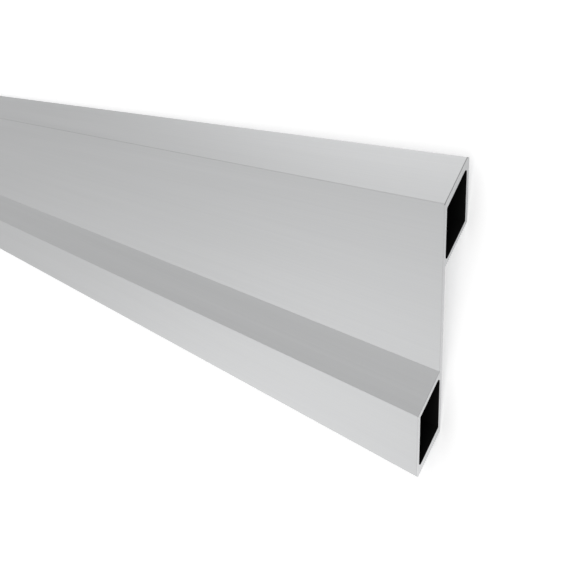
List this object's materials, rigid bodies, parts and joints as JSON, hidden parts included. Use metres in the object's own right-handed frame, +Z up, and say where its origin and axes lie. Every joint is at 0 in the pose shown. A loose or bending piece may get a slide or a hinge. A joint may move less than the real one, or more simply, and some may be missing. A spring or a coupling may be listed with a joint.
{
  "type": "aluminium extrusion profile",
  "caption": "Z-section aluminium extrusion: a flat web with a hollow, sloping-sided rim standing off each side, cut square at the ends; stock for louvre, fence or cladding slats.",
  "frame": {"origin": "floor point under the middle of the bar's length and of its section", "axes": "+X along the bar, +Y across it towards the rim that lies lower, +Z up from the floor the bar lies on"},
  "size_m": [2, 0.2024, 0.0184],
  "materials": {
    "aluminium": "satin, as extruded"
  },
  "bodies": {
    "root": {"z_profile": "aluminium"}
  },
  "joints": []
}
